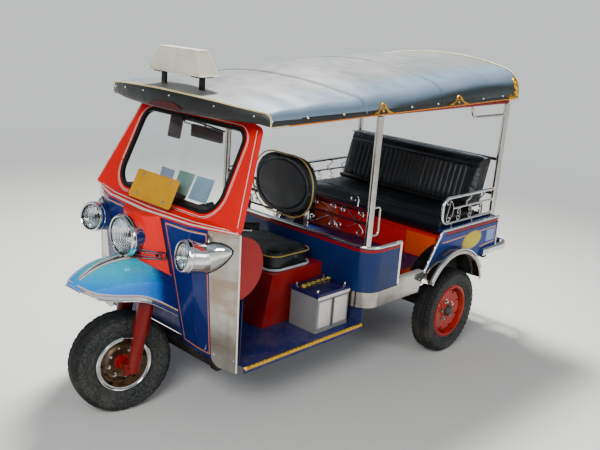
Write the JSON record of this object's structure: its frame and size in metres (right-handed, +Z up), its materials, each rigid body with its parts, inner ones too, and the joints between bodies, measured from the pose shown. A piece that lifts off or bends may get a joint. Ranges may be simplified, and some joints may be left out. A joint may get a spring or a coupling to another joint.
{
  "type": "auto rickshaw",
  "caption": "Open three-wheeled passenger rickshaw: steered front wheel under a bright-trimmed nose and raked windscreen, vinyl roof on posts, padded bench between scrolled side rails.",
  "frame": {"origin": "on the ground, under the middle of the overall length and width", "axes": "+X to the vehicle's left, -Y to its front, +Z up; the front wheel is parked turned 13.4 degrees to the right"},
  "size_m": [1.42, 2.97, 1.8319],
  "materials": {
    "red_paint": "gloss",
    "blue_paint": "gloss",
    "maroon_paint": "gloss",
    "pale_paint": "satin",
    "black_paint": "satin",
    "chrome": "polished",
    "steel": "satin",
    "cast": "rough",
    "tyre": "matt",
    "rubber": "matt",
    "black_vinyl": "soft sheen",
    "roof_vinyl": "sheen",
    "glass": "clear",
    "lamp_glass": "clear",
    "tail_glass": "gloss",
    "cream_plastic": "gloss",
    "yellow_plate": "satin",
    "battery_white": "gloss"
  },
  "bodies": {
    "chassis": {"chassis_frame": "black_paint", "rear_axle": "cast", "leaf_springs": "black_paint", "engine": "cast", "exhaust": "steel", "cab_floor": "blue_paint", "passenger_floor": "blue_paint", "front_bulkhead": "blue_paint", "bulkhead_rail": "chrome", "sill_skirts": "chrome", "quarter_panels": "blue_paint", "rear_panel": "blue_paint", "rear_fenders": "chrome", "wheel_housings": "black_paint", "rear_bumper": "chrome", "tail_lamps": "tail_glass", "leg_shields": "blue_paint", "shield_strips": "chrome", "nose_centre": "red_paint", "front_fender": "blue_paint", "windscreen_surround": "red_paint", "windscreen_gasket": "rubber", "windscreen_glass": "glass", "number_plate": "yellow_plate", "knee_guards": "maroon_paint", "dashboard": "red_paint", "interior_mirror": "maroon_paint", "headlamp_shells": "chrome", "lamp_lenses": "lamp_glass", "roof_canopy": "roof_vinyl", "roof_frame": "maroon_paint", "roof_posts": "chrome", "roof_sign": "cream_plastic", "roof_sign_legs": "black_paint", "side_scroll_rails": "chrome", "partition_rail": "maroon_paint", "engine_cover": "red_paint", "driver_cushion": "black_vinyl", "driver_backrest": "black_vinyl", "bench_box": "red_paint", "bench_cushion": "black_vinyl", "bench_backrest": "black_vinyl", "battery": "battery_white"},
    "steering": {"front_fork": "red_paint", "handlebar": "chrome"},
    "front_wheel": {"front_tyre": "tyre", "front_rim": "chrome"},
    "rear_wheel_left": {"rear_tyre_left": "tyre", "rear_rim_left": "red_paint"},
    "rear_wheel_right": {"rear_tyre_right": "tyre", "rear_rim_right": "red_paint"}
  },
  "joints": [
    {"name": "steer", "type": "hinge", "parent": "chassis", "child": "steering", "pos_m": [0, -1.196, 0.26], "axis": [0, 0.2079, 0.9781], "range_deg": [-24.6, 51.4]},
    {"name": "front_wheel_spin", "type": "hinge", "parent": "steering", "child": "front_wheel", "pos_m": [-0.00499, -1.2172, 0.26095], "axis": [0.9728, -0.2267, 0.0482], "continuous": true},
    {"name": "rear_wheel_left_spin", "type": "hinge", "parent": "chassis", "child": "rear_wheel_left", "pos_m": [0.635, 0.775, 0.272], "axis": [1, 0, 0], "continuous": true},
    {"name": "rear_wheel_right_spin", "type": "hinge", "parent": "chassis", "child": "rear_wheel_right", "pos_m": [-0.635, 0.775, 0.272], "axis": [1, 0, 0], "continuous": true}
  ]
}
